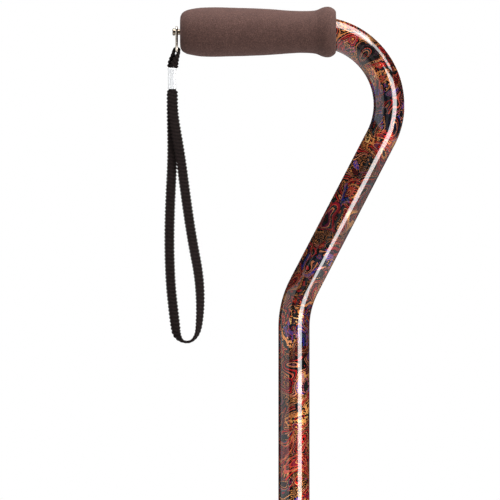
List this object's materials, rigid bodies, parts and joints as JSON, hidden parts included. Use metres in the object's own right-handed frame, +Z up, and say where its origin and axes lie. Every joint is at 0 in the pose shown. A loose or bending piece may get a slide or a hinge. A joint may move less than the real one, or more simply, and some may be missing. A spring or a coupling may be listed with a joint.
{
  "type": "quad walking cane",
  "caption": "Four-footed walking cane with a telescoping offset tube handle, foam grip, wrist strap and small low base on rubber ferrules.",
  "frame": {"origin": "on the floor, under the shaft's axis and midway between the four feet", "axes": "+Z up along the shaft; the handle lies in the XZ plane, with the grip's free end and the wrist strap towards -X; the snap button faces -Y"},
  "size_m": [0.2072, 0.1562, 0.864],
  "materials": {
    "printed_tube": "glossy clear-coated print",
    "foam": "matte moulded foam rubber",
    "chrome": "polished",
    "webbing": "woven nylon",
    "black_plastic": "satin moulded",
    "black_tube": "gloss black powder coat",
    "plate_black": "satin black powder coat",
    "tip_rubber": "matte grey-black rubber",
    "zinc_steel": "zinc plated",
    "spring_steel": "bright spring steel",
    "inner_plastic": "moulded",
    "brass": "polished"
  },
  "bodies": {
    "base": {"base_plate": "plate_black", "front_leg_tube": "black_tube", "rear_leg_tube": "black_tube", "front_left_tip": "tip_rubber", "front_right_tip": "tip_rubber", "rear_left_tip": "tip_rubber", "rear_right_tip": "tip_rubber", "tip_washers": "zinc_steel", "hub_socket": "black_tube", "hub_bolt": "black_tube", "saddle_washer": "black_tube", "stem_tube": "black_tube", "stem_plug": "zinc_steel", "stem_guide": "inner_plastic", "snap_spring": "spring_steel"},
    "hub_locknut": {"hub_locknut": "black_plastic"},
    "snap_button": {"snap_button": "brass"},
    "handle": {"handle_tube": "printed_tube", "foam_grip": "foam", "grip_end_plug": "inner_plastic", "strap_screw": "chrome", "collet_bushing": "black_plastic"},
    "lock_nut": {"lock_nut": "black_plastic"},
    "strap_link": {"strap_link": "chrome"},
    "strap": {"strap_crimp": "chrome", "strap_upper_loop": "webbing", "strap_loop": "webbing"}
  },
  "joints": [
    {"name": "height_slide", "type": "slide", "parent": "base", "child": "handle", "axis": [0, 0, 1], "range_m": [-0.0762, 0.0762]},
    {"name": "button_press", "type": "slide", "parent": "base", "child": "snap_button", "axis": [0, 1, 0], "range_m": [0, 0.004], "stiffness_N_per_m": 900, "springref_m": -0.003, "deforming": ["snap_spring"]},
    {"name": "hub_locknut_turn", "type": "hinge", "parent": "base", "child": "hub_locknut", "pos_m": [0, 0, 0.0875], "axis": [0, 0, 1], "range_deg": [0, 180]},
    {"name": "lock_nut_turn", "type": "hinge", "parent": "handle", "child": "lock_nut", "pos_m": [0, 0, 0.231], "axis": [0, 0, 1], "range_deg": [-180, 0]},
    {"name": "strap_swing", "type": "hinge", "parent": "handle", "child": "strap_link", "pos_m": [-0.0835, 0, 0.846], "axis": [1, 0, 0], "range_deg": [-120, 120]},
    {"name": "strap_tilt", "type": "hinge", "parent": "strap_link", "child": "strap", "pos_m": [-0.0835, 0, 0.8323], "axis": [0, 1, 0], "range_deg": [0, 90]}
  ]
}
